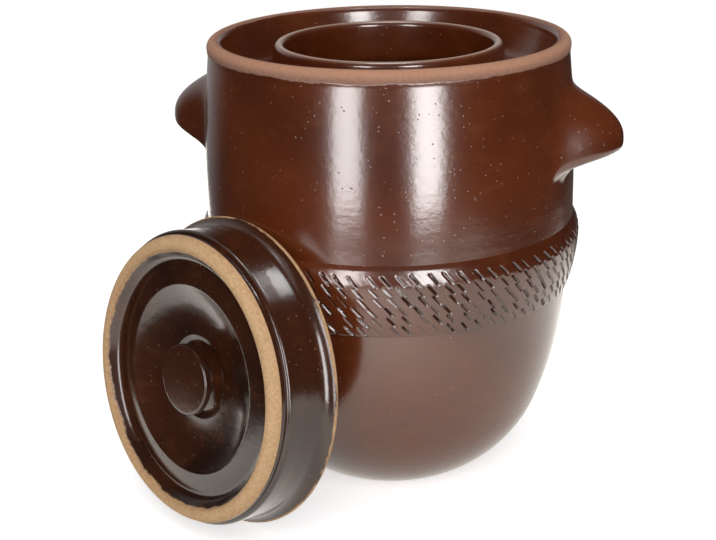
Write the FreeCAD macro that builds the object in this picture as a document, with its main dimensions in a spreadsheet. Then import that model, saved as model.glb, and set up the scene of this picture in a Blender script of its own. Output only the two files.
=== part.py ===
import FreeCAD, Part
import math
import os
import re
import Sketcher

# A stoneware fermentation crock with a water-seal gutter, and the lid that belongs in the
# gutter, leaning against the crock's side. Millimetres. The origin is the middle of the
# crock's foot on the floor, +Z is up, the two ears lie on the X axis and the front is -Y.
#
# The crock is thrown as one section: foot, belly, an added roll of clay round the middle, a
# straight wall, a beaded rim, the gutter behind it and the inner neck that the lid goes over.

SIZES = [
    # whole crock
    ("crock_height", 330.5, "floor to the crest of the rim"),
    ("rim_radius", 133.0, "outside of the rim's bead"),
    ("wall_thickness", 10.0, "thrown wall, measured level"),
    ("floor_thickness", 12.0, "clay under the inside floor"),
    # foot and belly
    ("foot_inset", 62.0, "how much narrower the flat foot is than the rim"),
    ("foot_bend", 105.0, "radius of the curve from the foot to the knee"),
    ("knee_inset", 17.5, "how much narrower the knee of the belly is than the rim"),
    ("knee_height", 53.0, "height of the knee"),
    ("belly_bend", 300.0, "radius of the belly above the knee"),
    # the added roll
    ("ledge_out", 1.8, "wall just under the roll, outside the rim"),
    ("ledge_drop", 184.2, "rim crest to the roll's lower edge"),
    ("ledge_step", 1.8, "how far the roll's lower edge stands out"),
    ("roll_out", 10.2, "roll at its widest, outside the rim"),
    ("roll_drop", 146.0, "rim crest to the roll's widest line"),
    ("roll_bend", 140.0, "radius of the roll's lower face"),
    ("crease_drop", 121.0, "rim crest to the crease above the roll"),
    ("crease_fillet", 2.5, "height of the small hollow in that crease"),
    ("shoulder_out", 5.2, "foot of the upper wall, outside the rim"),
    ("wall_bend", 1100.0, "radius of the nearly straight upper wall"),
    # rim
    ("bead_radius", 5.6, "half the thickness of the rim's bead"),
    ("bead_undercut", 1.0, "hollow under the bead"),
    ("bead_neck", 11.0, "from the bead's middle down to that hollow"),
    # gutter and neck
    ("gutter_width", 36.1, "gutter at its floor"),
    ("gutter_depth", 30.5, "rim crest to the gutter's floor"),
    ("gutter_bend", 13.0, "round corners of the gutter's floor"),
    ("neck_lip", 3.8, "half the thickness of the neck's lip"),
    ("neck_drop", 4.5, "how much lower the neck is than the rim"),
    ("neck_batter", 1.5, "how much wider the neck is at its foot"),
    ("gutter_floor", 10.0, "clay under the gutter"),
    ("ceiling_bend", 16.0, "round corner under the gutter"),
    # ears
    ("ear_reach", 38.0, "wall to the ear's tip"),
    ("ear_drop", 63.0, "rim crest to the ear's tip"),
    ("ear_half_width", 40.0, "half the ear's width at the wall"),
    ("ear_half_depth", 24.6, "half the ear's depth, less the flare"),
    ("ear_flare", 13.0, "extra depth where the ear spreads on the wall"),
    ("ear_rise", 2.0, "how much higher the ear's root is than its tip"),
    ("ear_root", 10.0, "how far the ear is keyed into the wall"),
    ("finger_width", 21.0, "half width of the hollow under the ear"),
    ("finger_depth", 15.0, "half depth of that hollow, outwards"),
    ("finger_rise", 17.0, "half height of that hollow"),
    ("finger_drop", 32.0, "ear's tip down to the hollow's middle"),
    # lid, in its own frame: open edge down on Z = 0
    ("lid_clearance", 11.1, "gutter's wall to the lid's flared edge"),
    ("lid_height", 48.5, "open edge to the top of the ring"),
    ("lid_wall", 7.0, "skirt"),
    ("lid_floor", 8.0, "clay of the dish"),
    ("edge_round", 2.6, "rounding of the open edge"),
    ("flare_step", 6.3, "how far the flared edge stands out from the skirt"),
    ("flare_height", 12.0, "height of the flare above the open edge"),
    ("skirt_waist", 0.5, "how much the skirt draws in half way up"),
    ("skirt_height", 36.0, "top of the straight skirt"),
    ("skirt_corner", 3.0, "rounded shoulder of the skirt"),
    ("ring_step", 2.8, "skirt to the foot of the raised ring"),
    ("ring_bend", 8.6, "outer rounding of the ring"),
    ("ring_width", 10.8, "foot of the ring to its inner edge"),
    ("valley_inset", 8.8, "ring's inner edge to the lowest line inside it"),
    ("valley_depth", 9.3, "ring top to that line"),
    ("valley_bend", 7.0, "radius of the hollow at that line"),
    ("crest_inset", 15.0, "that line to the soft crest inside it"),
    ("crest_depth", 7.4, "ring top to the crest"),
    ("crest_bend", 60.0, "radius of the crest"),
    ("dish_width", 9.5, "knob's neck to the lowest line of the dish"),
    ("dish_depth", 17.5, "ring top to the dish"),
    ("dish_bend", 66.0, "radius of the dish"),
    ("knob_radius", 25.2, "knob's head"),
    ("knob_drop", 2.8, "ring top down to the knob's face"),
    ("knob_head", 6.0, "thickness of the head at its edge"),
    ("knob_neck", 17.5, "neck under the head"),
    ("knob_round", 1.9, "rounded edges of the head"),
    # how the lid stands
    ("lean_angle", 8.0, "lid's tilt from upright, degrees"),
    ("lean_side", -118.6, "direction that the lid's face looks to, degrees from +X"),
    ("lean_shift", -4.5, "sideways shift of the lid, square to that direction"),
    ("rest_gap", 0.15, "clearance where the lid touches"),
]
NAMES = [name for name, value, note in SIZES]

doc = FreeCAD.newDocument("fermentation_crock")
sheet = doc.addObject("Spreadsheet::Sheet", "Sizes")
for row, (name, value, note) in enumerate(SIZES, start=1):
    sheet.set("A%d" % row, note)
    sheet.set("B%d" % row, str(value))
    sheet.setAlias("B%d" % row, name)
doc.recompute()


def bound(text):
    """The expression text with each size's name pointed at its cell."""
    return re.sub(r"[a-z_]+", lambda word: "Sizes." + word[0] if word[0] in NAMES else word[0], text)


def size(text):
    """What an expression in the sheet's names comes to."""
    return float(sheet.evalExpression(bound(text)))


def origin_part(body, role):
    """One of the body's own origin planes or axes."""
    return [feature for feature in body.Origin.OriginFeatures if feature.Role == role][0]


def new_body(name):
    body = doc.addObject("PartDesign::Body", name)
    body.Label = name
    return body


def new_sketch(body, name, role, offset=None):
    """A sketch on an origin plane, moved along the plane's normal by an expression."""
    sketch = body.newObject("Sketcher::SketchObject", name)
    sketch.AttachmentSupport = [(origin_part(body, role), "")]
    sketch.MapMode = "FlatFace"
    if offset:
        sketch.setExpression("AttachmentOffset.Base.z", bound(offset))
    return sketch


def dimension(sketch, kind, geometry, text, point=None):
    """Adds one driving dimension and binds it to the sheet."""
    value = size(text)
    if point is None:
        index = sketch.addConstraint(Sketcher.Constraint(kind, geometry, value))
    else:
        index = sketch.addConstraint(Sketcher.Constraint(kind, geometry, point, value))
    sketch.setExpression("Constraints[%d]" % index, bound(text))


def arc_centre(start, end, radius, turn):
    """Centre of the arc from start to end that bends left (+1) or right (-1)."""
    chord = end - start
    middle = (start + end) * 0.5
    across = FreeCAD.Vector(-chord.y, chord.x, 0).normalize()
    return middle + across * turn * math.sqrt(max(radius ** 2 - chord.Length ** 2 / 4, 0))


def smooth_arc(start, end, heading):
    """Centre and turn of the arc that leaves start along heading and reaches end."""
    chord = end - start
    across = FreeCAD.Vector(-heading.y, heading.x, 0)
    reach = chord.dot(chord) / (2 * chord.dot(across))
    return start + across * reach, math.copysign(1, reach)


def draw_outline(sketch, points):
    """Draws a closed outline, material on the left, from (x, y, how) with texts for x and y.

    how says what leads to the point: None is a straight line, "smooth" an arc that carries on
    from the piece before, and (radius, turn) an arc of that radius, bending left (1) or right (-1).
    """
    corners = [FreeCAD.Vector(size(x), size(y), 0) for x, y, how in points]
    ends = []
    heading = None
    for index, (x, y, how) in enumerate(points):
        start = corners[index - 1]
        end = corners[index]
        if how is None:
            geometry = sketch.addGeometry(Part.LineSegment(start, end), False)
            ends.append((geometry, 1, 2, False))
            heading = (end - start).normalize()
            continue
        if how == "smooth":
            centre, turn = smooth_arc(start, end, heading)
        else:
            radius, turn = how
            centre = arc_centre(start, end, size(radius), turn)
        circle = Part.Circle(centre, FreeCAD.Vector(0, 0, 1), (end - centre).Length)
        first, last = (start, end) if turn > 0 else (end, start)
        low = math.atan2(first.y - centre.y, first.x - centre.x)
        high = math.atan2(last.y - centre.y, last.x - centre.x)
        if high < low:
            high += 2 * math.pi
        geometry = sketch.addGeometry(Part.ArcOfCircle(circle, low, high), False)
        ends.append((geometry, 1, 2, how == "smooth") if turn > 0 else (geometry, 2, 1, how == "smooth"))
        spoke = end - centre
        heading = FreeCAD.Vector(-spoke.y, spoke.x, 0).normalize() * turn
        if how != "smooth":
            dimension(sketch, "Radius", geometry, radius)
    for index, (geometry, begin, finish, smooth) in enumerate(ends):
        before = ends[index - 1]
        kind = "Tangent" if smooth else "Coincident"
        sketch.addConstraint(Sketcher.Constraint(kind, before[0], before[2], geometry, begin))
        x, y, how = points[index]
        for text, axis, kind in ((x, -2, "DistanceX"), (y, -1, "DistanceY")):
            if text == "0":
                sketch.addConstraint(Sketcher.Constraint("PointOnObject", geometry, finish, axis))
            else:
                dimension(sketch, kind, geometry, text, finish)


def turned(body, kind, name, sketch):
    """A full Revolution or Groove of a sketch about its upright axis."""
    feature = body.newObject(kind, name)
    feature.Profile = (sketch, [""])
    feature.ReferenceAxis = (sketch, ["V_Axis"])
    feature.Angle = 360
    doc.recompute()
    return feature


# ------------------------------------------------------------------ crock

BEAD_HEIGHT = "crock_height - bead_radius"
LEDGE_HEIGHT = "crock_height - ledge_drop"
ROLL_HEIGHT = "crock_height - roll_drop"
CREASE_HEIGHT = "crock_height - crease_drop"
FOOT = "rim_radius - foot_inset"
KNEE = "rim_radius - knee_inset"
LEDGE = "rim_radius + ledge_out"
SHOULDER = "rim_radius + shoulder_out"
GUTTER_WALL = "rim_radius - 2 * bead_radius"
GUTTER_FLOOR = "crock_height - gutter_depth"
NECK_FOOT = GUTTER_WALL + " - gutter_width"
NECK = NECK_FOOT + " - neck_batter"
LIP_HEIGHT = "crock_height - neck_drop - neck_lip"
BORE = NECK + " - 2 * neck_lip"
CEILING = "crock_height - gutter_depth - gutter_floor"
INNER_WALL = SHOULDER + " - wall_thickness"
EAR_HEIGHT = "crock_height - ear_drop"

OUTSIDE = [
    ("0", "0", None),
    (FOOT, "0", None),
    (KNEE, "knee_height", ("foot_bend", 1)),
    (LEDGE, LEDGE_HEIGHT, ("belly_bend", 1)),
    (LEDGE + " + ledge_step", LEDGE_HEIGHT + " + ledge_step / 2", None),
    ("rim_radius + roll_out", ROLL_HEIGHT, ("roll_bend", 1)),
    (SHOULDER + " + crease_fillet / 5", CREASE_HEIGHT + " - crease_fillet", "smooth"),
    (SHOULDER, CREASE_HEIGHT, "smooth"),
    ("rim_radius - bead_undercut", BEAD_HEIGHT + " - bead_neck", ("wall_bend", 1)),
    ("rim_radius", BEAD_HEIGHT, None),
    ("rim_radius - bead_radius", "crock_height", ("bead_radius", 1)),
    (GUTTER_WALL, BEAD_HEIGHT, ("bead_radius", 1)),
    (GUTTER_WALL, GUTTER_FLOOR + " + gutter_bend", None),
    (GUTTER_WALL + " - gutter_bend", GUTTER_FLOOR, ("gutter_bend", -1)),
    (NECK_FOOT + " + gutter_bend", GUTTER_FLOOR, None),
    (NECK_FOOT, GUTTER_FLOOR + " + gutter_bend", ("gutter_bend", -1)),
    (NECK, LIP_HEIGHT, None),
    (NECK + " - neck_lip", "crock_height - neck_drop", ("neck_lip", 1)),
    (BORE, LIP_HEIGHT, ("neck_lip", 1)),
    ("0", LIP_HEIGHT, None),
]

INSIDE = [
    ("0", "floor_thickness", None),
    (FOOT + " - wall_thickness", "floor_thickness", None),
    (KNEE + " - wall_thickness", "knee_height + 6", ("foot_bend", 1)),
    (LEDGE + " - wall_thickness", LEDGE_HEIGHT, ("belly_bend", 1)),
    (INNER_WALL, CREASE_HEIGHT, "smooth"),
    (INNER_WALL, CEILING + " - ceiling_bend", None),
    (INNER_WALL + " - ceiling_bend", CEILING, ("ceiling_bend", 1)),
    (NECK_FOOT, CEILING, None),
    (BORE, CEILING + " + wall_thickness", ("wall_thickness", -1)),
    (BORE, "crock_height", None),
    ("0", "crock_height", None),
]

# The ear is a tongue of clay that narrows to a round tip. At the share t of its reach each
# section is an ellipse that narrows as the root of 1 - t, and near the wall it spreads up and
# down by a flare that fades as the cube of 1 - t.
EAR_SHARES = (0.0, 0.3, 0.6, 0.85, 0.96, 0.997)


def ear_section(body, name, share, place):
    """One upright ellipse across the ear."""
    narrow = math.sqrt(1 - share)
    flare = (1 - share) ** 3
    half_width = "ear_half_width * %.5f" % narrow
    half_depth = "ear_half_depth * %.5f + ear_flare * %.5f" % (narrow, flare)
    height = EAR_HEIGHT + " + ear_rise * %.5f" % (1 - share)
    sketch = new_sketch(body, name, "YZ_Plane", place)
    middle = FreeCAD.Vector(0, size(height), 0)
    side = middle + FreeCAD.Vector(size(half_width), 0, 0)
    top = middle + FreeCAD.Vector(0, size(half_depth), 0)
    ellipse = sketch.addGeometry(Part.Ellipse(side, top, middle), False)
    sketch.exposeInternalGeometry(ellipse)
    sketch.addConstraint(Sketcher.Constraint("PointOnObject", ellipse, 3, -2))
    sketch.addConstraint(Sketcher.Constraint("Horizontal", ellipse + 1))
    dimension(sketch, "DistanceY", ellipse, height, 3)
    dimension(sketch, "Distance", ellipse + 1, "2 * (%s)" % half_width)
    dimension(sketch, "Distance", ellipse + 2, "2 * (%s)" % half_depth)
    return sketch


def add_ear(body, hand, sign):
    """An ear with the finger hollow under it, on the +X side or on the -X side."""
    places = [(0.0, "%s(rim_radius - ear_root)" % sign)]
    places += [(share, "%s(%s - 1 + ear_reach * %.3f)" % (sign, SHOULDER, share)) for share in EAR_SHARES]
    sections = [ear_section(body, "%s_section_%d" % (hand, i), share, place)
                for i, (share, place) in enumerate(places)]
    doc.recompute()
    ear = body.newObject("PartDesign::AdditiveLoft", hand + "_ear")
    ear.Profile = (sections[0], [""])
    ear.Sections = [(section, [""]) for section in sections[1:]]
    ear.Ruled = False
    doc.recompute()

    hollow = body.newObject("PartDesign::SubtractiveEllipsoid", hand + "_finger_hollow")
    hollow.AttachmentSupport = [(origin_part(body, "XY_Plane"), "")]
    hollow.MapMode = "FlatFace"
    hollow.setExpression("AttachmentOffset.Base.x", bound("%s(%s + finger_depth)" % (sign, SHOULDER)))
    hollow.setExpression("AttachmentOffset.Base.z", bound(EAR_HEIGHT + " - finger_drop"))
    hollow.setExpression("Radius1", bound("finger_rise"))
    hollow.setExpression("Radius2", bound("finger_depth"))
    hollow.setExpression("Radius3", bound("finger_width"))
    doc.recompute()


def build_crock():
    body = new_body("crock")
    outside = new_sketch(body, "outside_section", "XZ_Plane")
    draw_outline(outside, OUTSIDE)
    doc.recompute()
    turned(body, "PartDesign::Revolution", "thrown_clay", outside)
    add_ear(body, "right", "")
    add_ear(body, "left", "-")

    inside = new_sketch(body, "inside_section", "XZ_Plane")
    draw_outline(inside, INSIDE)
    doc.recompute()
    turned(body, "PartDesign::Groove", "hollow", inside)
    return body


# ------------------------------------------------------------------ lid

LID = GUTTER_WALL + " - lid_clearance"
SKIRT = LID + " - flare_step"
RING = SKIRT + " - ring_step"
RING_IN = RING + " - ring_width"
VALLEY = RING_IN + " - valley_inset"
CREST = VALLEY + " - crest_inset"
DISH = "knob_neck + dish_width"
EDGE_IN = LID + " - lid_wall"
SKIRT_IN = SKIRT + " - lid_wall"
DISH_FLOOR = "lid_height - dish_depth - lid_floor"
VALLEY_FLOOR = "lid_height - valley_depth - lid_floor"
KNOB_FACE = "lid_height - knob_drop"
KNOB_UNDER = "lid_height - knob_drop - knob_head"

LID_OUTLINE = [
    ("0", DISH_FLOOR, None),
    (DISH, DISH_FLOOR, None),
    (SKIRT_IN + " - lid_floor", VALLEY_FLOOR, None),
    (SKIRT_IN, VALLEY_FLOOR + " - lid_floor", ("lid_floor", -1)),
    (EDGE_IN, "edge_round", None),
    (EDGE_IN + " + edge_round", "0", ("edge_round", 1)),
    (LID + " - edge_round", "0", None),
    (LID, "edge_round", ("edge_round", 1)),
    (SKIRT, "flare_height", ("flare_height", -1)),
    (SKIRT + " - skirt_waist", "(flare_height + skirt_height) / 2", None),
    (SKIRT, "skirt_height", None),
    (RING, "skirt_height + skirt_corner", ("skirt_corner", 1)),
    (RING, "lid_height - ring_bend", None),
    (RING + " - ring_bend", "lid_height", ("ring_bend", 1)),
    (RING_IN, "lid_height - 1.6", "smooth"),
    (RING_IN + " - 3.4", "lid_height - valley_depth + 3", None),
    (VALLEY, "lid_height - valley_depth", ("valley_bend", -1)),
    (CREST, "lid_height - crest_depth", ("crest_bend", 1)),
    (DISH + " + 3", "lid_height - dish_depth + 1", ("dish_bend", -1)),
    ("knob_neck", "lid_height - dish_depth + 2", ("dish_width", -1)),
    ("knob_neck", KNOB_UNDER + " - 1.5", None),
    ("knob_radius - knob_round", KNOB_UNDER, None),
    ("knob_radius", KNOB_UNDER + " + knob_round", ("knob_round", 1)),
    ("knob_radius", KNOB_FACE + " - knob_round", None),
    ("knob_radius - knob_round", KNOB_FACE, ("knob_round", 1)),
    ("0", KNOB_FACE + " + 0.6", None),
]


def build_lid():
    body = new_body("lid")
    section = new_sketch(body, "lid_section", "XZ_Plane")
    draw_outline(section, LID_OUTLINE)
    doc.recompute()
    turned(body, "PartDesign::Revolution", "thrown_lid", section)
    return body


def lean_lid(lid, crock):
    """Stands the lid on its open edge and slides it along the floor until it meets the crock."""
    side = math.radians(size("lean_side"))
    lean = math.radians(size("lean_angle"))
    outwards = FreeCAD.Vector(math.cos(side), math.sin(side), 0)
    across = FreeCAD.Vector(-outwards.y, outwards.x, 0)
    up = FreeCAD.Vector(0, 0, 1)
    face = outwards * math.cos(lean) + up * math.sin(lean)
    turn = FreeCAD.Rotation(across, face.cross(across), face, "ZXY")
    lift = size(LID + " - edge_round") * math.cos(lean) + size("edge_round") * (1 - math.sin(lean))
    away = 2 * size("rim_radius")
    for attempt in range(12):
        base = outwards * away + across * size("lean_shift") + up * lift
        lid.Placement = FreeCAD.Placement(base, turn)
        gap = lid.Shape.distToShape(crock.Shape)[0]
        if abs(gap - size("rest_gap")) < 0.01:
            break
        away -= gap - size("rest_gap")
    return gap


crock = build_crock()
lid = build_lid()
doc.recompute()
print("lid leans with a gap of %.3f mm" % lean_lid(lid, crock))

os.makedirs("parts", exist_ok=True)
for item in doc.Objects:
    wrong = [word for word in item.State if word in ("Invalid", "Error")]
    if wrong:
        raise RuntimeError("%s is %s" % (item.Name, wrong))
for body in (crock, lid):
    if body.Shape.isNull() or not body.Shape.isValid():
        raise RuntimeError(body.Label + " is not a valid shape")
for body in (crock, lid):
    body.Shape.exportStep("parts/%s.step" % body.Label)
    box = body.Shape.optimalBoundingBox(False)
    print(body.Label, len(body.Shape.Solids), "solid, %.1f cm3," % (body.Shape.Volume / 1000),
          "box %.1f..%.1f, %.1f..%.1f, %.1f..%.1f" % (box.XMin, box.XMax, box.YMin, box.YMax, box.ZMin, box.ZMax))
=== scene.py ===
# %% [markdown]
# # A stoneware fermentation crock
# The crock is thrown on a wheel: foot, belly, an added roll of clay, a straight wall, a beaded
# rim, a gutter that holds sealing water and an inner neck. The lid leans against its front.
# Everything is in metres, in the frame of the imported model: the crock's foot is the origin, +Z is
# up, the ears lie on X and the front is -Y.

# %% The frame
import bmesh
import bpy
import math
import numpy as np
from mathutils import Matrix, Vector


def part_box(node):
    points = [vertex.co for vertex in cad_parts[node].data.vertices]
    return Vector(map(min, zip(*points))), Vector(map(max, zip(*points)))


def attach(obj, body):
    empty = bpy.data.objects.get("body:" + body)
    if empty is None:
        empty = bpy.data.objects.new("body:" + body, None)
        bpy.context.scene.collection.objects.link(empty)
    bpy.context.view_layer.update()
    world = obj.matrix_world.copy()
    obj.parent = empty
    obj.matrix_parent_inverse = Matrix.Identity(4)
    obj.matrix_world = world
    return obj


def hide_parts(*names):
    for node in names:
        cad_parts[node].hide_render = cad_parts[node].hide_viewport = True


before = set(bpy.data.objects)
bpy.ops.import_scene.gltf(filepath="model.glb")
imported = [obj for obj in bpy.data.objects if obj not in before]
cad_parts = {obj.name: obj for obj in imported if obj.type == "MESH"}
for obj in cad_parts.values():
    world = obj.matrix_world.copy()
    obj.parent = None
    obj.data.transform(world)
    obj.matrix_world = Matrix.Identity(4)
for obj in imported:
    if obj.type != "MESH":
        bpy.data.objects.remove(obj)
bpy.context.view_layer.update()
scene = bpy.context.scene
MM = 0.001

# %% [markdown]
# ## Looking at it
# The viewer stands about a metre in front and a little to the right, so the right ear comes
# forward, and looks down far enough to see into the gutter. The floor and the lamps are placed as
# the viewer sees them too: x to the right, y away from the viewer and z up.

# %% Camera
VIEW_TURN = math.radians(16.9)
EYE = (0, -1.0065, 0.5152)
GAZE_YAW, GAZE_PITCH, GAZE_ROLL = -1.43, 20.12, -0.96
LENS = 69.23
SENSOR = 36
front = Matrix.Rotation(VIEW_TURN, 3, "Z")


def from_viewer(x, y, z):
    """A place given with the viewer straight in front, in the part's own frame."""
    return front @ Vector((x, y, z))


def look(yaw, pitch, roll):
    """Camera rotation from three angles in degrees, before the viewer's turn."""
    yaw, pitch, roll = math.radians(yaw), math.radians(pitch), math.radians(roll)
    ahead = Vector((math.sin(yaw) * math.cos(pitch), math.cos(yaw) * math.cos(pitch),
                    -math.sin(pitch)))
    right = ahead.cross(Vector((0, 0, 1))).normalized()
    up = right.cross(ahead)
    tilted_right = math.cos(roll) * right + math.sin(roll) * up
    tilted_up = -math.sin(roll) * right + math.cos(roll) * up
    return Matrix((tilted_right, tilted_up, -ahead)).transposed()


camera_data = bpy.data.cameras.new("camera")
camera_data.lens = LENS
camera_data.sensor_width = SENSOR
camera = bpy.data.objects.new("camera", camera_data)
scene.collection.objects.link(camera)
camera.matrix_world = (front @ look(GAZE_YAW, GAZE_PITCH, GAZE_ROLL)).to_4x4()
camera.location = from_viewer(*EYE)
scene.camera = camera
print("camera at", [round(c, 3) for c in camera.location])

# %% [markdown]
# ## Drawing a section
# A thrown pot is one section turned round an axis. The section is written as corners joined by
# straight lines and arcs, as a potter's template is, and then divided into short steps. Corners
# could also be rounded with a bevel, but arcs keep each bend the size that is asked for.
# Millimetres are easier to read here, and become metres when the mesh is made.

# %% Section helper
ARC_TURN = math.radians(9)


def trace(corners, step=2.0):
    """Divides an open line of (r, z, how) corners, in millimetres, into short steps.

    how is None for a straight line, "smooth" for an arc that carries on from the piece before,
    or (radius, turn) for an arc that bends left (1) or right (-1).
    """
    points = [np.array(corners[0][:2], float)]
    heading = np.array([1.0, 0.0])
    for r, z, how in corners[1:]:
        start, end = points[-1], np.array([r, z], float)
        chord = end - start
        length = np.hypot(*chord)
        if how is None:
            count = max(1, round(length / step))
            points += [start + chord * k / count for k in range(1, count + 1)]
            heading = chord / length
            continue
        if how == "smooth":
            across = np.array([-heading[1], heading[0]])
            reach = chord @ chord / (2 * chord @ across)
            centre, turn, radius = start + across * reach, math.copysign(1, reach), abs(reach)
        else:
            radius, turn = how
            across = np.array([-chord[1], chord[0]]) / length * turn
            centre = (start + end) / 2 + across * math.sqrt(max(radius ** 2 - length ** 2 / 4, 0))
        first = math.atan2(*(start - centre)[::-1])
        sweep = (math.atan2(*(end - centre)[::-1]) - first) * turn % (2 * math.pi)
        count = max(2, math.ceil(max(radius * sweep / step, sweep / ARC_TURN)))
        for k in range(1, count + 1):
            angle = first + turn * sweep * k / count
            points.append(centre + radius * np.array([math.cos(angle), math.sin(angle)]))
        spoke = (end - centre) / radius
        heading = np.array([-spoke[1], spoke[0]]) * turn
    return np.array(points)


def trace_on(start, *stretches):
    """Traces one stretch after another. Each is its step and the corners that follow."""
    lines = [np.array([start], float)]
    for step, corners in stretches:
        lines.append(trace([(*start, None), *corners], step)[1:])
        start = corners[-1][:2]
    return np.vstack(lines)


# %% Mesh helpers
WELD = 2e-6


def turned_mesh(name, line, columns, radius_at=None, closed=False, extra=None, crowd=0.0):
    """Turns a traced line about Z into a mesh.

    radius_at(r, z, angle) may push the surface out or in. closed joins the end of the line to its
    start. extra holds named values for each point of the line, kept as vertex attributes. crowd
    gathers columns at the ears. finish_mesh welds the vertices that fall together on the axis.
    """
    angle = np.arange(columns) * 2 * math.pi / columns
    angle = angle - crowd * np.sin(2 * angle)
    rows = len(line)
    r = np.repeat(line[:, :1], columns, axis=1)
    z = np.repeat(line[:, 1:], columns, axis=1)
    a = np.repeat(angle[None, :], rows, axis=0)
    if radius_at:
        r = radius_at(r, z, a)
    co = np.stack([r * np.cos(a), r * np.sin(a), z], axis=2).reshape(-1, 3) * MM
    index = np.arange(rows * columns).reshape(rows, columns)
    if closed:
        index = np.vstack([index, index[:1]])
    low, high = index[:-1], index[1:]
    quads = np.stack([low, np.roll(low, -1, 1), np.roll(high, -1, 1), high], axis=2)
    mesh = bpy.data.meshes.new(name)
    mesh.from_pydata(co.tolist(), [], quads.reshape(-1, 4).tolist())
    for key, values in (extra or {}).items():
        layer = mesh.attributes.new(key, "FLOAT", "POINT")
        layer.data.foreach_set("value", np.repeat(np.asarray(values, np.float32), columns))
    mesh.update()
    mesh.validate()
    return mesh


def finish_mesh(mesh, crease=32):
    """Welds the pole, shades smooth and keeps creases sharper than this many degrees."""
    work = bmesh.new()
    work.from_mesh(mesh)
    bmesh.ops.remove_doubles(work, verts=work.verts, dist=WELD)
    bmesh.ops.recalc_face_normals(work, faces=work.faces)
    work.to_mesh(mesh)
    work.free()
    for polygon in mesh.polygons:
        polygon.use_smooth = True
    mesh.set_sharp_from_angle(angle=math.radians(crease))


def add_piece(name, mesh, material, node):
    """Puts a finished mesh in the scene in place of its plain solid."""
    obj = bpy.data.objects.new(name, mesh)
    scene.collection.objects.link(obj)
    mesh.materials.clear()
    mesh.materials.append(material)
    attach(obj, "root")
    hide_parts(node)
    print(name, len(mesh.polygons), "faces")
    return obj


# %% [markdown]
# ## Writing materials as sums
# A shader is arithmetic on values that change over the surface. Each sum could be a Math node
# added by hand, but a long list of nodes hides what is meant. A small class wraps a socket so
# that ordinary operators add the nodes. The same class serves Geometry Nodes.

# %% Nodes as expressions
class Value:
    """One output socket that can be added, multiplied and compared."""

    def __init__(self, tree, socket):
        self.tree = tree
        self.socket = socket

    def math(self, operation, *others, clamp=False):
        """Adds a Math node that starts from this value."""
        item = self.tree.nodes.new("ShaderNodeMath")
        item.operation = operation
        item.use_clamp = clamp
        for slot, other in zip(item.inputs, (self,) + others):
            connect(self.tree, other, slot)
        return Value(self.tree, item.outputs[0])

    def __add__(self, other): return self.math("ADD", other)
    def __radd__(self, other): return self.math("ADD", other)
    def __sub__(self, other): return self.math("SUBTRACT", other)
    def __rsub__(self, other): return wrap(self.tree, other).math("SUBTRACT", self)
    def __mul__(self, other): return self.math("MULTIPLY", other)
    def __truediv__(self, other): return self.math("DIVIDE", other)
    def __rtruediv__(self, other): return wrap(self.tree, other).math("DIVIDE", self)
    def __abs__(self): return self.math("ABSOLUTE")

    def clamp(self):
        """Kept between 0 and 1."""
        return self.math("ADD", 0.0, clamp=True)

    def step(self, low, high):
        """0 below low, 1 above high, and smooth between them."""
        return node(self.tree, "ShaderNodeMapRange", {"interpolation_type": "SMOOTHSTEP"},
                    {0: self, 1: low, 2: high, 3: 0.0, 4: 1.0})[0]


def connect(tree, item, slot):
    """Links a Value to a socket, or sets the socket to a number or colour."""
    if isinstance(item, Value):
        tree.links.new(item.socket, slot)
    else:
        slot.default_value = item


def wrap(tree, number):
    """A plain number as a Value."""
    item = tree.nodes.new("ShaderNodeValue")
    item.outputs[0].default_value = number
    return Value(tree, item.outputs[0])


def node(tree, kind, settings=None, inputs=None):
    """Adds any other node and gives its outputs as Values."""
    item = tree.nodes.new(kind)
    for key, setting in (settings or {}).items():
        setattr(item, key, setting)
    for key, value in (inputs or {}).items():
        connect(tree, value, item.inputs[key])
    return [Value(tree, socket) for socket in item.outputs]


def srgb(red, green, blue):
    """A colour given from 0 to 255, as the linear values that a shader takes."""
    def linear(value):
        value /= 255
        return value / 12.92 if value <= 0.04045 else ((value + 0.055) / 1.055) ** 2.4
    return (linear(red), linear(green), linear(blue))


def blend(tree, amount, first, second):
    """Mixes two colours."""
    def colour(item):
        return item if isinstance(item, Value) else (*item, 1)
    return node(tree, "ShaderNodeMix", {"data_type": "RGBA"},
                {0: amount, 6: colour(first), 7: colour(second)})[2]


def noise(tree, place, scale, detail=2.0, roughness=0.5):
    """Soft noise, about 0.5 on average."""
    return node(tree, "ShaderNodeTexNoise", {"normalize": True},
                {"Vector": place, "Scale": scale, "Detail": detail, "Roughness": roughness})[0]


def stretched(tree, place, x, y, z):
    """The same place with each direction scaled."""
    return node(tree, "ShaderNodeMapping", {}, {"Vector": place, "Scale": (x, y, z)})[0]


def new_material(name):
    """A material with an empty node tree."""
    material = bpy.data.materials.new(name)
    material.use_nodes = True
    tree = material.node_tree
    tree.nodes.clear()
    return material, tree


# %% [markdown]
# ## The glaze
# The glaze is a glossy dark brown that breaks lighter where it runs thin. Under a light its skin
# shows orange peel, pinholes and the rings left by throwing. Where it was wiped off, on the rim
# and on the lid's ring, the bare clay is a matt tan. Two materials with a painted mask would do,
# but one material keeps the seam clean: a vertex attribute says how far each place is from the
# edge of the glaze, in millimetres, and noise makes that edge ragged.

# %% Glaze and clay colours
GLAZE_DARK = srgb(78, 32, 10)
GLAZE_BROWN = srgb(97, 43, 16)
GLAZE_THIN = srgb(120, 68, 36)
GLAZE_DEEP = srgb(20, 8, 4)
LID_DARK = srgb(36, 17, 8)
LID_BROWN = srgb(62, 30, 15)
PALE_LIP_AND_HIGHLIGHT = srgb(176, 138, 112)
SPECK = srgb(150, 118, 92)
RIM_CLAY = (srgb(174, 121, 88), srgb(124, 78, 54))
RING_CLAY = (srgb(208, 170, 124), srgb(176, 134, 92))


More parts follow.
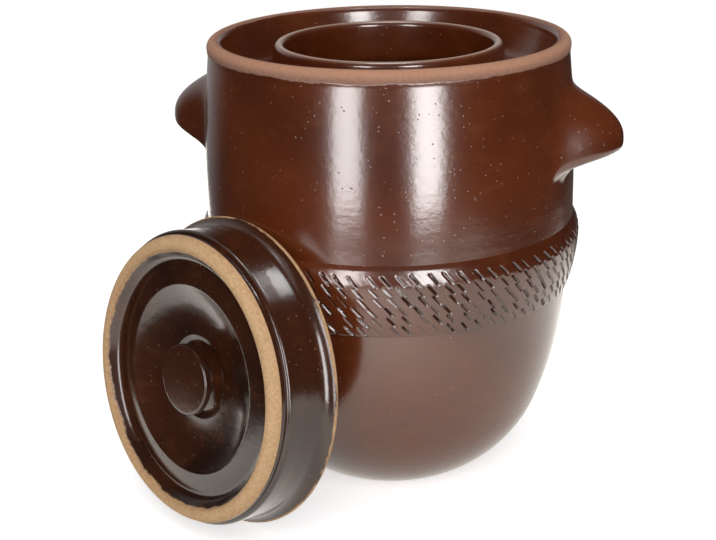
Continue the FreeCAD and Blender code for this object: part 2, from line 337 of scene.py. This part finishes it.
def attribute(tree, name):
    """A number that the mesh keeps at each vertex."""
    return node(tree, "ShaderNodeAttribute", {"attribute_name": name})[2]


def spots(tree, place, scale, width, channel, chance):
    """Small round spots at random: 1 in the middle of a spot and 0 away from it."""
    cells = node(tree, "ShaderNodeTexVoronoi", {"feature": "F1"}, {"Vector": place, "Scale": scale})
    luck = node(tree, "ShaderNodeSeparateColor", {}, {0: cells[1]})[channel]
    return (1 - cells[0].step(0.05, width)) * luck.step(*chance)


def glaze_colour(tree, place, dark, brown, speck):
    """Brown glaze with broad patches, thin clouds, dark dashes, a pale lip and specks. The pale lip
    is glaze breaking thin on the edge and a painted highlight.
    """
    patches = noise(tree, place, scale=9.0, detail=3.0)
    cloud = noise(tree, stretched(tree, place, 1, 1, 2.2), scale=38.0, detail=4.0, roughness=0.6)
    colour = blend(tree, patches.step(0.35, 0.65), dark, brown)
    colour = blend(tree, cloud.step(0.50, 0.80) * 0.25, colour, GLAZE_THIN)
    colour = blend(tree, (attribute(tree, "notch") * 1.6).clamp() * 0.8, colour, GLAZE_DEEP)
    # The pale lip: glaze running thin on the neck's edge, made lighter still as a painted
    # highlight.
    colour = blend(tree, attribute(tree, "thin") * 0.75, colour, PALE_LIP_AND_HIGHLIGHT)
    return blend(tree, speck * 0.5, colour, SPECK)


def clay_colour(tree, place, bare, clay, sand):
    """Bare clay, lighter away from the glaze and on its grains of sand."""
    light, dark = clay
    grains = noise(tree, place, scale=420.0, detail=3.0, roughness=0.75).step(0.35, 0.65)
    return blend(tree, bare.step(0.0, 6.5) * (1 - sand) + grains * sand, dark, light)


# %% Glazed clay
def glazed_clay(name, dark, brown, clay, sand, polish, ior, edge_wander=2.2):
    """Glaze over stoneware, and bare clay where the attribute "bare" is above zero."""
    material, tree = new_material(name)
    place = node(tree, "ShaderNodeTexCoord")[3]
    bare = attribute(tree, "bare")
    speck = spots(tree, place, 300.0, 0.24, 0, (0.93, 0.97))
    pit = spots(tree, place, 330.0, 0.22, 1, (0.80, 0.86))

    ragged = noise(tree, place, scale=120.0, detail=4.0, roughness=0.65) - 0.5
    drift = noise(tree, place, scale=22.0) - 0.5
    edge = bare + ragged * edge_wander + drift * edge_wander * 1.2
    shown = edge.step(-0.55, 0.55)
    colour = blend(tree, shown, glaze_colour(tree, place, dark, brown, speck),
                   clay_colour(tree, place, bare, clay, sand))

    # Relief in millimetres: the skin of the glaze, and the clay's grain a little below it.
    peel = noise(tree, place, scale=210.0, detail=1.5)
    fine_peel = noise(tree, place, scale=800.0, detail=1.0)
    rings = noise(tree, stretched(tree, place, 0.12, 0.12, 1.0), scale=130.0)
    swell = noise(tree, stretched(tree, place, 1, 1, 0.7), scale=16.0, detail=1.0)
    skin = (peel * 0.07 + fine_peel * 0.022 + rings * 0.08 + swell * 0.5 - pit * 0.15
            + speck * 0.05)
    grain = noise(tree, place, scale=420.0) * 0.12 + noise(tree, place, scale=900.0) * 0.05
    relief = skin * (1 - shown) + grain * shown - shown * 0.18
    bump = node(tree, "ShaderNodeBump", {},
                {"Strength": 1.0, "Distance": MM, "Height": relief})[0]

    shader = tree.nodes.new("ShaderNodeBsdfPrincipled")
    output = tree.nodes.new("ShaderNodeOutputMaterial")
    connect(tree, colour, shader.inputs["Base Color"])
    connect(tree, polish + fine_peel * 0.06 + speck * 0.15 + pit * 0.25 + shown * 0.7,
            shader.inputs["Roughness"])
    connect(tree, bump, shader.inputs["Normal"])
    shader.inputs["IOR"].default_value = ior
    tree.links.new(shader.outputs[0], output.inputs[0])
    print(name, len(tree.nodes), "nodes")
    return material


GLAZE_POLISH = 0.16
crock_glaze = glazed_clay("crock_glaze", GLAZE_DARK, GLAZE_BROWN, RIM_CLAY, sand=0.25,
                          polish=GLAZE_POLISH, ior=1.62)
lid_glaze = glazed_clay("lid_glaze", LID_DARK, LID_BROWN, RING_CLAY, sand=0.55,
                        polish=GLAZE_POLISH, ior=1.46, edge_wander=3.0)

# %% [markdown]
# ## The crock
# The wall, rim, gutter, neck and inside are one turned surface, since they are one piece of clay.
# The two ears are pulled out of it: near an ear the wall's radius follows the ear, and a soft step
# joins them as wet clay does. A separate ear joined by a boolean would leave a hard seam there.

# %% Crock sizes
# Heights and radii in millimetres. A pair is a radius and a height. An arc is its radius.
HEIGHT = 330.5
RIM = 133.0
BEAD = 5.6
WALL = 10.0
FLOOR = 12.0
FOOT = 71.0
FOOT_ARC = 105.0
KNEE = (115.5, 53.0)
BELLY_ARC = 300.0
LEDGE = (134.8, 146.3)
ROLL = (143.2, 184.5)
SHOULDER = (138.2, 209.5)
WALL_ARC = 1100.0
GUTTER_DEPTH = 30.5
GUTTER_BEND = 13.0
NECK = 84.2
NECK_LIP = 3.8
NECK_DROP = 4.5
NECK_BATTER = 1.5
BEAD_HEIGHT = HEIGHT - BEAD
GUTTER_WALL = RIM - 2 * BEAD
GUTTER_FLOOR = HEIGHT - GUTTER_DEPTH
NECK_FOOT = NECK + NECK_BATTER
LIP_HEIGHT = HEIGHT - NECK_DROP - NECK_LIP
BORE = NECK - 2 * NECK_LIP
CEILING = HEIGHT - GUTTER_DEPTH - WALL
INSIDE = SHOULDER[0] - WALL
INSIDE_BEND = 16.0
print("crock", HEIGHT, "mm high,", 2 * RIM, "mm across the rim")

# %% Ear sizes
EAR_REACH = 38.8
EAR_HEIGHT = HEIGHT - 65.5
EAR_WIDTH = 46.0
EAR_ABOVE = 35.0
EAR_BELOW = 17.5
EAR_DROOP = 11.0
EAR_BLEND = 0.006
EAR_TAIL = 3.2
EAR_SECTOR = 0.62
EAR_LOWEST = 216.0
FINGER_WIDTH, FINGER_RISE = 20.0, 18.0
FINGER_HEIGHT = HEIGHT - 97.0
LEG_SIDE, LEG_WIDTH, LEG_REACH, LEG_RISE = 20.0, 8.0, 12.0, 14.0
print("ears reach", EAR_REACH, "mm out, highest at", EAR_HEIGHT, "mm")


# %% Ears
def soft_max(a, b, blend):
    """The larger of two heights, with a rounded step of the given size between them."""
    return (a + b + np.sqrt((a - b) ** 2 + blend ** 2) - blend) / 2


def ear_surface(z, y):
    """How far the ear stands out at a height and a distance to the side of its middle.

    The ear is a bulb, round above and blunt below, with a ridge that droops to both sides. A leg
    runs down on each side of the finger hollow.
    """
    aside = np.clip(np.abs(y) / EAR_WIDTH, 0, 1)
    above = z - EAR_HEIGHT + EAR_DROOP * aside ** 1.5
    upright = np.where(above > 0, (above / EAR_ABOVE) ** 2, np.abs(above / EAR_BELOW) ** 5)
    share = 1 - upright
    bulb = EAR_REACH * (share + np.sqrt(share ** 2 + 4 * EAR_BLEND)) / 2
    bulb = bulb * np.clip((EAR_TAIL + share) / EAR_TAIL, 0, 1) ** 2
    bulb = bulb * np.cos(math.pi / 2 * aside) ** 2
    leg = LEG_REACH * np.clip((z - FINGER_HEIGHT - 2) / LEG_RISE, 0, 1)
    leg = leg * np.exp(-((np.abs(y) - LEG_SIDE) / LEG_WIDTH) ** 2)
    return soft_max(bulb, leg * (z < EAR_HEIGHT + 4), 3.0)


def press_finger(out, z, y):
    """Presses the arched finger hollow into the ear from below, down to the wall."""
    arch = np.hypot(y / FINGER_WIDTH, np.clip(z - FINGER_HEIGHT, 0, None) / FINGER_RISE)
    return out * np.clip((arch - 0.92) / 0.10, 0, 1)


def soften(amount, times):
    """Evens out a grid of heights, as wet clay and glaze do."""
    for _ in range(times):
        amount = (np.roll(amount, 1, 1) + 2 * amount + np.roll(amount, -1, 1)) / 4
        amount[1:-1] = (amount[:-2] + 2 * amount[1:-1] + amount[2:]) / 4
    return amount


def pull_ears(r, z, angle):
    """The wall's radius with both ears pulled out of it, fading out at their edges."""
    turned = (angle + math.pi / 2) % math.pi - math.pi / 2
    away = np.abs(turned)
    near = (away < EAR_SECTOR) & (z > EAR_LOWEST) & (z < BEAD_HEIGHT) & (r > INSIDE + 3)
    fade = np.clip((EAR_SECTOR - away) / 0.2, 0, 1) * np.clip((z - EAR_LOWEST) / 12, 0, 1)
    fade = fade * np.clip((BEAD_HEIGHT - z) / 14, 0, 1)
    y = r * np.sin(turned)
    out = press_finger(ear_surface(z, y) * fade, z, y)
    return r + np.where(near, soften(np.where(near, out, 0), 2), 0)


# %% Crock section
shell_line = trace_on(
    (0, 0),
    (9.0, [(FOOT, 0, None)]),
    (3.2, [(*KNEE, (FOOT_ARC, 1)), (LEDGE[0] - 0.5, LEDGE[1], (BELLY_ARC, 1))]),
    (12.0, [(SHOULDER[0] - 3, ROLL[1] + 10.4, None)]),
    (1.5, [(SHOULDER[0] + 0.3, ROLL[1] + 11, None), (*SHOULDER, None),
           (RIM - 0.6, BEAD_HEIGHT - 6, (WALL_ARC, 1)), (RIM, BEAD_HEIGHT, None)]),
    (1.2, [(RIM - BEAD, HEIGHT, (BEAD, 1)), (GUTTER_WALL, BEAD_HEIGHT, (BEAD, 1))]),
    (2.2, [(GUTTER_WALL - 1, BEAD_HEIGHT - 3.4, None),
           (GUTTER_WALL - 6.3, BEAD_HEIGHT - 17, (80.0, -1)),
           (GUTTER_WALL - 17, GUTTER_FLOOR, (12.0, -1)),
           (NECK_FOOT + GUTTER_BEND, GUTTER_FLOOR, None),
           (NECK_FOOT, GUTTER_FLOOR + GUTTER_BEND, (GUTTER_BEND, -1)),
           (NECK, LIP_HEIGHT, None)]),
    (0.9, [(NECK - NECK_LIP, HEIGHT - NECK_DROP, (NECK_LIP, 1)),
           (BORE, LIP_HEIGHT, (NECK_LIP, 1))]),
    (5.0, [(BORE, CEILING + WALL, None), (NECK_FOOT, CEILING, (WALL, 1)),
           (INSIDE - INSIDE_BEND, CEILING, None),
           (INSIDE, CEILING - INSIDE_BEND, (INSIDE_BEND, -1)),
           (INSIDE, SHOULDER[1], None), (LEDGE[0] - WALL, LEDGE[1], None),
           (KNEE[0] - WALL, KNEE[1] + 6, (BELLY_ARC, -1)),
           (FOOT - WALL, FLOOR, (FOOT_ARC, -1)), (0, FLOOR, None)]))
print("crock section", len(shell_line), "points")

# %% Crock shell
GLAZED = -20.0
CLAY_OUTSIDE, CLAY_INSIDE = 3.5, 11.5
# How far the pale lip reaches from the neck's edge: thin glaze and a painted highlight.
PALE_LIP_REACH = 2.0
SHELL_COLUMNS = 512
radius, height = shell_line.T
bead_run = np.arctan2(radius - (RIM - BEAD), height - BEAD_HEIGHT) * BEAD
on_bead = (height > BEAD_HEIGHT - 12) & (radius > GUTTER_WALL - 1)
wiped = np.minimum(bead_run + CLAY_OUTSIDE, CLAY_INSIDE - bead_run)
# The "thin" attribute marks the neck's lip, where thin glaze and a painted highlight make it pale.
from_lip = np.hypot(radius - NECK + NECK_LIP, height - HEIGHT + NECK_DROP)
shell_mesh = turned_mesh(
    "crock_shell", shell_line, SHELL_COLUMNS, pull_ears, crowd=0.22,
    extra={"bare": np.where(on_bead, wiped, GLAZED), "thin": np.exp(-(from_lip / PALE_LIP_REACH) ** 2)})
finish_mesh(shell_mesh)
crock_shell = add_piece("crock_shell", shell_mesh, crock_glaze, "crock")

# %% [markdown]
# ## The added roll
# A coil of clay is pressed round the belly. Its face carries short slanting dashes, rolled in
# with a notched wheel, that go round in a few uneven rows. They follow a rule, so Geometry Nodes
# press them into a fine ring: each place finds its row and its dash, and sinks if it is in one.
# Hundreds of small cutters would give the same marks, but slowly and with ragged edges.

# %% Roll of clay
ROLL_FACE_ARC = 140.0
ROLL_CREST_ARC = 27.0
ROLL_COLUMNS = 1240
LEDGE_BACK = (LEDGE[0] - 4, LEDGE[1] + 0.6)
roll_line = trace_on(
    LEDGE_BACK,
    (1.2, [(LEDGE[0] - 0.4, LEDGE[1], None), (LEDGE[0] + 1.8, LEDGE[1] + 0.9, None)]),
    (0.8, [(*ROLL, (ROLL_FACE_ARC, 1)), (ROLL[0] - 2.8, ROLL[1] + 12, (ROLL_CREST_ARC, 1)),
           (ROLL[0] - 6.4, ROLL[1] + 17.2, None)]),
    (30.0, [(ROLL[0] - 8.2, ROLL[1] + 17, None), (*LEDGE_BACK, None)]))[:-1]
plain_roll = turned_mesh("plain_roll", roll_line, ROLL_COLUMNS, closed=True,
                         extra={"bare": np.full(len(roll_line), GLAZED)})
finish_mesh(plain_roll)
print("plain roll", len(plain_roll.vertices), "vertices")

# %% Sizes of the dashes
DASHES = {"Dashes round": 84.0, "Row height": 0.0076, "Lowest row": 0.1476, "Rows": 6.0,
          "Slant": 0.88, "Dash length": 0.0094, "Dash width": 0.0023, "Depth": 0.0016,
          "Seed": 3.0}
ROW_WANDER = 0.006
ROW_SHIFT = 0.0016
LIP_RISE = 0.16
print(int(DASHES["Dashes round"]), "dashes round in", int(DASHES["Rows"]), "rows")


# %% Rolled dashes
def scaled(tree, vector, x, y, z):
    """A vector with each direction scaled, in Geometry Nodes."""
    return node(tree, "ShaderNodeVectorMath", {"operation": "MULTIPLY"},
                {0: vector, 1: (x, y, z)})[0]


def combine(tree, x, y, z):
    """Three numbers as a vector."""
    return node(tree, "ShaderNodeCombineXYZ", {}, {0: x, 1: y, 2: z})[0]


def dash_depth(tree, position, size):
    """How deep each place lies in a dash, and how high on a dash's lip, both from 0 to 1."""
    x, y, z = node(tree, "ShaderNodeSeparateXYZ", {}, {0: position})
    angle = y.math("ARCTAN2", x)
    wander = noise(tree, scaled(tree, position, 14, 14, 0), scale=1.0, detail=1.0) - 0.5
    level = (z + wander * ROW_WANDER - size["Lowest row"]) / size["Row height"]
    row = level.math("FLOOR")
    row_start = node(tree, "ShaderNodeTexWhiteNoise", {"noise_dimensions": "2D"},
                     {"Vector": combine(tree, row, size["Seed"], 0)})[0]
    pitch = 2 * math.pi * ROLL[0] * MM / size["Dashes round"]
    up = (level - row - 0.5) * size["Row height"]
    run = angle / (2 * math.pi) * size["Dashes round"] + size["Slant"] * up / pitch + row_start
    dash = run.math("FLOOR").math("FLOORED_MODULO", size["Dashes round"])
    luck = node(tree, "ShaderNodeTexWhiteNoise", {"noise_dimensions": "3D"},
                {"Vector": combine(tree, dash, row, size["Seed"])})[1]
    shift, lift, force = node(tree, "ShaderNodeSeparateXYZ", {}, {0: luck})
    across = (run.math("FRACT") - 0.5 + (shift - 0.5) * 0.30) * pitch
    along = up + (lift - 0.5) * ROW_SHIFT
    half_width, half_length = size["Dash width"] / 2, size["Dash length"] / 2
    in_line = 1 - (abs(across) / half_width).step(0.30, 1.15)
    in_row = 1 - (abs(along) / half_length).step(0.62, 1.0)
    lip = (1 - (abs(abs(across) / half_width - 1.55)).step(0.0, 0.6)) * in_row
    rolled = row.math("GREATER_THAN", -0.5) * row.math("LESS_THAN", size["Rows"] - 0.5)
    outer = (x * x + y * y).math("SQRT").step((LEDGE[0] - 1.5) * MM, (LEDGE[0] - 0.5) * MM)
    notch = in_line * in_row * rolled * outer * (0.35 + force * 0.65)
    return notch, lip * rolled * outer * LIP_RISE


def dash_tree():
    """Geometry Nodes that sink slanting dashes into a ring and keep how deep each place is."""
    tree = bpy.data.node_groups.new("rolled_dashes", "GeometryNodeTree")
    tree.interface.new_socket("Ring", in_out="INPUT", socket_type="NodeSocketGeometry")
    for name, value in DASHES.items():
        socket = tree.interface.new_socket(name, in_out="INPUT", socket_type="NodeSocketFloat")
        socket.default_value = value
    tree.interface.new_socket("Ring", in_out="OUTPUT", socket_type="NodeSocketGeometry")
    given = tree.nodes.new("NodeGroupInput")
    size = {name: Value(tree, given.outputs[name]) for name in DASHES}
    ring = Value(tree, given.outputs["Ring"])

    position = node(tree, "GeometryNodeInputPosition")[0]
    notch, rise = dash_depth(tree, position, size)
    normal = node(tree, "GeometryNodeInputNormal")[0]
    offset = node(tree, "ShaderNodeVectorMath", {"operation": "SCALE"},
                  {0: normal, "Scale": (rise - notch) * size["Depth"]})[0]
    moved = node(tree, "GeometryNodeSetPosition", {}, {"Geometry": ring, "Offset": offset})[0]
    kept = node(tree, "GeometryNodeStoreNamedAttribute", {"data_type": "FLOAT", "domain": "POINT"},
                {"Geometry": moved, "Name": "notch", "Value": notch})[0]
    real = node(tree, "GeometryNodeRealizeInstances", {}, {"Geometry": kept})[0]
    painted = node(tree, "GeometryNodeSetMaterial", {},
                   {"Geometry": real, "Material": crock_glaze})[0]
    result = tree.nodes.new("NodeGroupOutput")
    connect(tree, painted, result.inputs["Ring"])
    return tree


def grown(name, mesh, tree, settings):
    """Runs a Geometry Nodes tree on a mesh and gives the finished plain mesh."""
    helper = bpy.data.objects.new(name, mesh)
    scene.collection.objects.link(helper)
    modifier = helper.modifiers.new("rule", "NODES")
    modifier.node_group = tree
    for item in tree.interface.items_tree:
        if item.in_out == "INPUT" and item.name in settings:
            modifier[item.identifier] = settings[item.name]
    evaluated = helper.evaluated_get(bpy.context.evaluated_depsgraph_get())
    result = bpy.data.meshes.new_from_object(evaluated)
    helper.modifiers.clear()
    bpy.data.objects.remove(helper)
    return result


# %% Roll with its dashes
DASH_CREASE = 70
roll_mesh = grown("roll_helper", plain_roll, dash_tree(), DASHES)
roll_mesh.name = "crock_roll"
finish_mesh(roll_mesh, crease=DASH_CREASE)
crock_roll = add_piece("crock_roll", roll_mesh, crock_glaze, "crock")

# %% [markdown]
# ## The lid
# The lid is turned as well: a flared open edge, a straight skirt, a raised bare ring and a dish
# with a mushroom knob. It could be modelled where it stands, but it is easier to make upright,
# as it was thrown, and to lean afterwards. The frame says where it stands.

# %% Lid sizes
LID = 110.7
LID_HEIGHT = 48.5
LID_WALL = 7.0
LID_FLOOR = 8.0
EDGE_ROUND = 2.6
FLARE = 12.0
SKIRT = 104.4
SKIRT_HEIGHT = 36.0
SKIRT_ROUND = 3.0
RING = 101.6
RING_ROUND = 8.6
RING_INNER = 90.8
VALLEY = (RING_INNER - 8.8, LID_HEIGHT - 9.3)
CREST = (VALLEY[0] - 15.0, LID_HEIGHT - 7.4)
DISH = (27.0, LID_HEIGHT - 17.5)
KNOB = 25.2
KNOB_ROUND = 1.9
KNOB_NECK = 17.5
KNOB_FACE = LID_HEIGHT - 2.8
KNOB_UNDER = KNOB_FACE - 6.0
print("lid", LID_HEIGHT, "mm high,", 2 * LID, "mm across")

# %% Lid section
lid_line = trace([
    (0, DISH[1] - LID_FLOOR, None), (DISH[0], DISH[1] - LID_FLOOR, None),
    (SKIRT - LID_WALL - LID_FLOOR, VALLEY[1] - LID_FLOOR, None),
    (SKIRT - LID_WALL, VALLEY[1] - 2 * LID_FLOOR, (LID_FLOOR, -1)),
    (LID - LID_WALL, EDGE_ROUND, None), (LID - LID_WALL + EDGE_ROUND, 0, (EDGE_ROUND, 1)),
    (LID - EDGE_ROUND, 0, None), (LID, EDGE_ROUND, (EDGE_ROUND, 1)),
    (SKIRT, FLARE, (FLARE, -1)), (SKIRT - 0.5, (FLARE + SKIRT_HEIGHT) / 2, None),
    (SKIRT, SKIRT_HEIGHT, None), (RING, SKIRT_HEIGHT + 3, (SKIRT_ROUND, 1)),
    (RING, LID_HEIGHT - RING_ROUND, None), (RING - RING_ROUND, LID_HEIGHT, (RING_ROUND, 1)),
    (RING_INNER, LID_HEIGHT - 1.6, "smooth"), (RING_INNER - 3.4, VALLEY[1] + 3, None),
    (*VALLEY, (7.0, -1)), (*CREST, (60.0, 1)), (DISH[0] + 3, DISH[1] + 1, (66.0, -1)),
    (KNOB_NECK, DISH[1] + 2, (9.5, -1)), (KNOB_NECK, KNOB_UNDER - 1.5, None),
    (KNOB - KNOB_ROUND, KNOB_UNDER, None), (KNOB, KNOB_UNDER + KNOB_ROUND, (KNOB_ROUND, 1)),
    (KNOB, KNOB_FACE - KNOB_ROUND, None), (KNOB - KNOB_ROUND, KNOB_FACE, (KNOB_ROUND, 1)),
    (0, KNOB_FACE + 0.6, None)], 1.4)
print("lid section", len(lid_line), "points")

# %% Lid mesh
EDGE_CLAY = 3.4
LID_COLUMNS = 400
radius, height = lid_line.T
on_ring = height > LID_HEIGHT - 7
lid_bare = np.where(on_ring, np.minimum(radius - RING_INNER + 0.6, RING + 1 - radius), GLAZED)
on_edge = (height < EDGE_CLAY) & (radius > LID - LID_WALL - EDGE_CLAY)
lid_bare = np.where(on_edge, EDGE_CLAY - height, lid_bare)
lid_mesh = turned_mesh("lid_body", lid_line, LID_COLUMNS, extra={"bare": lid_bare})

# %% Lean the lid
LEAN_SIDE = math.radians(-118.6)
LEAN = math.radians(8.0)
outwards = Vector((math.cos(LEAN_SIDE), math.sin(LEAN_SIDE), 0))
across = Vector((-outwards.y, outwards.x, 0))
face = outwards * math.cos(LEAN) + Vector((0, 0, math.sin(LEAN)))
lean = Matrix((across, face.cross(across), face)).transposed().to_4x4()
lid_mesh.transform(lean)
points = np.empty(len(lid_mesh.vertices) * 3)
lid_mesh.vertices.foreach_get("co", points)
points = points.reshape(-1, 3)
node_low, node_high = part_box("lid")
shift = (Vector(node_low) + Vector(node_high)) / 2 - Vector((points.min(0) + points.max(0)) / 2)
lid_mesh.transform(Matrix.Translation(shift))
finish_mesh(lid_mesh)
lid_body = add_piece("lid_body", lid_mesh, lid_glaze, "lid")
print("lid moved by", [round(c, 4) for c in shift])

# %% [markdown]
# ## Floor and light
# A wide pale floor and two tall soft boxes in front, as in a small product studio. Glaze is a
# mirror, so what it shows matters as much as what lights it. A real studio hangs black cloth
# where the mirror should stay dark. Here the kind of ray does that: the camera sees a white room
# and floor, while the glaze sees them only where they should show.

# %% Floor
PAPER_LEFT, PAPER_RIGHT, PAPER_NEAR, PAPER_FAR = -0.42, 0.62, -0.95, 1.6
PAPER_WHITE = (0.9, 0.9, 0.9, 1)
PAPER_ROUGHNESS = 0.9
CAMERA_GLOW = 0.6
MIRROR_GLOW = 2.7
MIRROR_LEAST = 0.1
MIRROR_COLOUR = (1.0, 0.96, 0.88, 1)


def viewer_axis(tree, place, way):
    """How far a place lies along a direction, as the viewer sees it."""
    return node(tree, "ShaderNodeVectorMath", {"operation": "DOT_PRODUCT"},
                {0: place, 1: tuple(from_viewer(*way))})[1]


def choose(tree, factor, no, yes):
    """One shader or the other, by the kind of ray that meets it."""
    mix = tree.nodes.new("ShaderNodeMixShader")
    for socket, item in zip(mix.inputs, (factor, no, yes)):
        tree.links.new(item, socket)
    return mix.outputs[0]


floor_mesh = bpy.data.meshes.new("floor")
corners = ((PAPER_LEFT, PAPER_NEAR), (PAPER_RIGHT, PAPER_NEAR),
           (PAPER_RIGHT, PAPER_FAR), (PAPER_LEFT, PAPER_FAR))
floor_mesh.from_pydata([from_viewer(x, y, 0) for x, y in corners], [], [(0, 1, 2, 3)])
floor = bpy.data.objects.new("floor", floor_mesh)
scene.collection.objects.link(floor)
floor_material, tree = new_material("floor_paper")
paper = tree.nodes.new("ShaderNodeBsdfPrincipled")
paper.inputs["Base Color"].default_value = PAPER_WHITE
paper.inputs["Roughness"].default_value = PAPER_ROUGHNESS
paper.inputs["Specular IOR Level"].default_value = 0.0
camera_glow = tree.nodes.new("ShaderNodeEmission")
camera_glow.inputs["Strength"].default_value = CAMERA_GLOW
seen = tree.nodes.new("ShaderNodeAddShader")
tree.links.new(paper.outputs[0], seen.inputs[0])
tree.links.new(camera_glow.outputs[0], seen.inputs[1])

# What the glaze sees of the floor fades close to the viewer, far behind on the right, near the
# crock's foot and to the right.
spot = node(tree, "ShaderNodeTexCoord")[3]
depth, side = viewer_axis(tree, spot, (0, 1, 0)), viewer_axis(tree, spot, (1, 0, 0))
distance = (depth * depth + side * side).math("SQRT")
lit = depth.step(-0.80, -0.50) * (1 - depth.step(0.20, 0.45) * side.step(-0.05, 0.15))
lit = lit * (distance.step(0.05, 0.42) * 0.67 + 0.33) * (1 - side.step(0.0, 0.3) * 0.33)
mirror_glow = tree.nodes.new("ShaderNodeEmission")
mirror_glow.inputs["Color"].default_value = MIRROR_COLOUR
connect(tree, lit * MIRROR_GLOW + MIRROR_LEAST, mirror_glow.inputs["Strength"])

ray = tree.nodes.new("ShaderNodeLightPath")
straight = choose(tree, ray.outputs["Is Camera Ray"], paper.outputs[0], seen.outputs[0])
both = choose(tree, ray.outputs["Is Glossy Ray"], straight, mirror_glow.outputs[0])
output = tree.nodes.new("ShaderNodeOutputMaterial")
tree.links.new(both, output.inputs[0])
floor_mesh.materials.append(floor_material)
print("floor", round(PAPER_RIGHT - PAPER_LEFT, 2), "by", round(PAPER_FAR - PAPER_NEAR, 2), "m")

# %% Room
ROOM_LIGHT = 0.42
WINDOW_WAY = (-0.3, 0.88, 0.36)
WINDOW_GLOW = 0.5
MIRRORED_DARK = 0.03
world = bpy.data.worlds.new("room")
world.use_nodes = True
scene.world = world
tree = world.node_tree
tree.nodes.clear()
facing = viewer_axis(tree, node(tree, "ShaderNodeTexCoord")[0], WINDOW_WAY)
ray = tree.nodes.new("ShaderNodeLightPath")
camera_ray = Value(tree, ray.outputs["Is Camera Ray"])
glossy_ray = Value(tree, ray.outputs["Is Glossy Ray"])
mirrored = facing.step(0.6, 0.95) * WINDOW_GLOW + MIRRORED_DARK
room = glossy_ray * mirrored + (1 - glossy_ray) * ROOM_LIGHT
background = tree.nodes.new("ShaderNodeBackground")
background.inputs["Color"].default_value = (1, 1, 1, 1)
connect(tree, camera_ray.math("MAXIMUM", room), background.inputs["Strength"])
output = tree.nodes.new("ShaderNodeOutputWorld")
tree.links.new(background.outputs[0], output.inputs[0])
print("room light", ROOM_LIGHT, "and", MIRRORED_DARK, "to", WINDOW_GLOW, "in the glaze")


# %% Lamps
def soft_box(name, place, target, width, height, brightness, lights_things=True):
    """A rectangular lamp that faces a target. Brightness is that of its face."""
    data = bpy.data.lights.new(name, "AREA")
    data.shape = "RECTANGLE"
    data.size, data.size_y = width, height
    data.energy = brightness * math.pi * width * height
    lamp = bpy.data.objects.new(name, data)
    scene.collection.objects.link(lamp)
    lamp.location = from_viewer(*place)
    aim = from_viewer(*target) - lamp.location
    lamp.rotation_euler = aim.to_track_quat("-Z", "Y").to_euler()
    lamp.visible_diffuse = lights_things
    return lamp


# The two strips stand in front and only show in the glaze. Each row is a turn to the side in
# degrees, a width in metres and a brightness.
STRIPS = {"left_strip": (-26.3, 0.44, 14), "right_strip": (23.6, 0.46, 18)}
STRIP_MIDDLE = (0, -0.135, 0.53)
STRIP_DISTANCE = 1.5
STRIP_HEIGHT = 1.44
for name, (side, width, bright) in STRIPS.items():
    turn = math.radians(side)
    place = (STRIP_DISTANCE * math.sin(turn),
             STRIP_MIDDLE[1] - STRIP_DISTANCE * math.cos(turn), STRIP_MIDDLE[2])
    soft_box(name, place, STRIP_MIDDLE, width, STRIP_HEIGHT, bright, lights_things=False)
soft_box("overhead", (0, 0.1, 1.7), (0, 0, 0), 1.2, 1.2, 1.1)
soft_box("top_light", (0, 0.25, 1.6), (0, 0, 0.2), 0.45, 0.45, 8, lights_things=False)
fill = soft_box("front_fill", (0.1, -1.3, 1.0), (0, 0, 0.15), 1.0, 1.0, 3.8)
fill.visible_glossy = False

# %% A lamp for the lid
# It stands behind the crock on the right and shows as a pale patch on the lid's skirt. Only the
# lid sees it and only the lid can hide it, so the crock in between doesn't block it.
side_box = soft_box("side_box", (0.80, 0.57, 1.32), (-0.09, -0.19, 0.19), 0.5, 0.26, 13,
                    lights_things=False)
lid_only = bpy.data.collections.new("lid_only")
lid_only.objects.link(lid_body)
side_box.light_linking.receiver_collection = lid_only
side_box.light_linking.blocker_collection = lid_only
side_box.data.cycles.use_multiple_importance_sampling = False
scene.view_settings.view_transform = "Standard"
